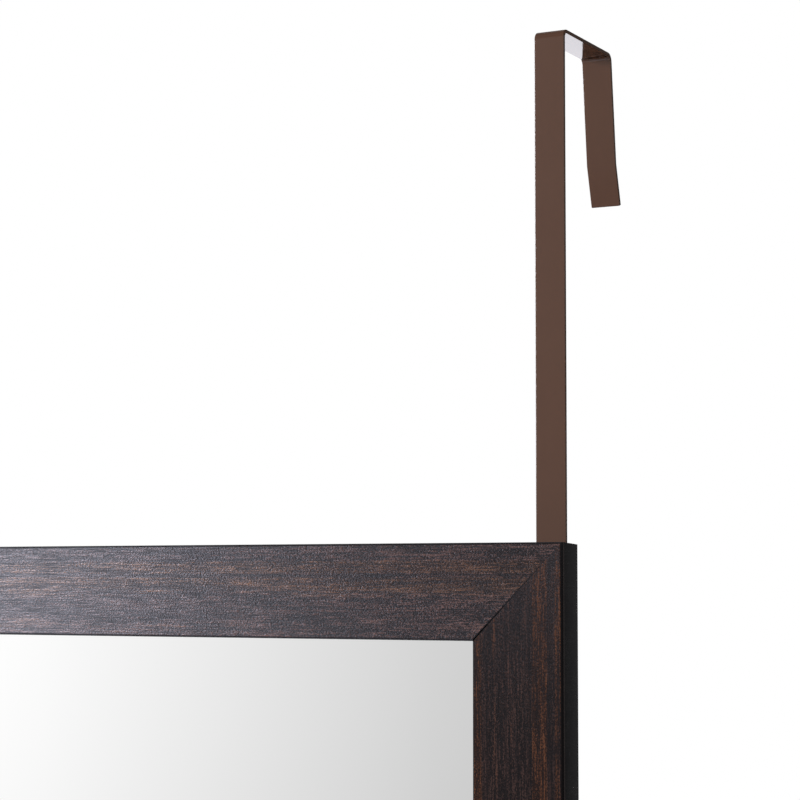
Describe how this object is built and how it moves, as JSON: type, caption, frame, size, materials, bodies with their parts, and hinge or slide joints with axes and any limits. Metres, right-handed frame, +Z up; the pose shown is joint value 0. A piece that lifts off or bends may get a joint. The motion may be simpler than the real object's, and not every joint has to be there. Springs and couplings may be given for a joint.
{
  "type": "over the door mirror",
  "caption": "Tall mirror in a mitred woodgrain frame, hung on the top edge of a door by two bent flat steel hooks that slide behind the side rails to set its height.",
  "frame": {"origin": "on the door's top edge, midway between the two hooks, level with the door-side face of their front straps", "axes": "+X to the right seen from the room, +Y from the room towards the door, +Z up"},
  "size_m": [0.362, 0.0757, 1.479],
  "materials": {
    "moulding_across": "dark brown woodgrain foil, satin, grain across; satin black sides",
    "moulding_upright": "dark brown woodgrain foil, satin, grain upright; satin black sides",
    "nail_steel": "bare steel strip",
    "silvered_glass": "silvered float glass",
    "cushion_card": "plain corrugated card",
    "hardboard": "brown hardboard, smooth side out",
    "point_steel": "zinc plated",
    "hook_paint": "brown powder coat with a satin sheen",
    "screw_steel": "zinc plated",
    "washer_steel": "zinc plated",
    "insert_brass": "plain brass",
    "bumper_rubber": "matt black rubber"
  },
  "bodies": {
    "framed_mirror": {"top_rail": "moulding_across", "bottom_rail": "moulding_across", "left_rail": "moulding_upright", "right_rail": "moulding_upright", "corner_nails": "nail_steel", "mirror_glass": "silvered_glass", "cushion_sheet": "cushion_card", "backing_board": "hardboard", "retaining_points": "point_steel", "left_screws": "screw_steel", "right_screws": "screw_steel", "left_washers": "washer_steel", "right_washers": "washer_steel", "left_inserts": "insert_brass", "right_inserts": "insert_brass", "upper_left_bumper": "bumper_rubber", "upper_right_bumper": "bumper_rubber", "lower_left_bumper": "bumper_rubber", "lower_right_bumper": "bumper_rubber"},
    "left_hook": {"left_hook": "hook_paint"},
    "right_hook": {"right_hook": "hook_paint"}
  },
  "joints": [
    {"name": "left_hook_slide", "type": "slide", "parent": "framed_mirror", "child": "left_hook", "axis": [0, 0, 1], "range_m": [-0.1, 0]},
    {"name": "right_hook_slide", "type": "slide", "parent": "framed_mirror", "child": "right_hook", "axis": [0, 0, 1], "range_m": [-0.1, 0]}
  ]
}
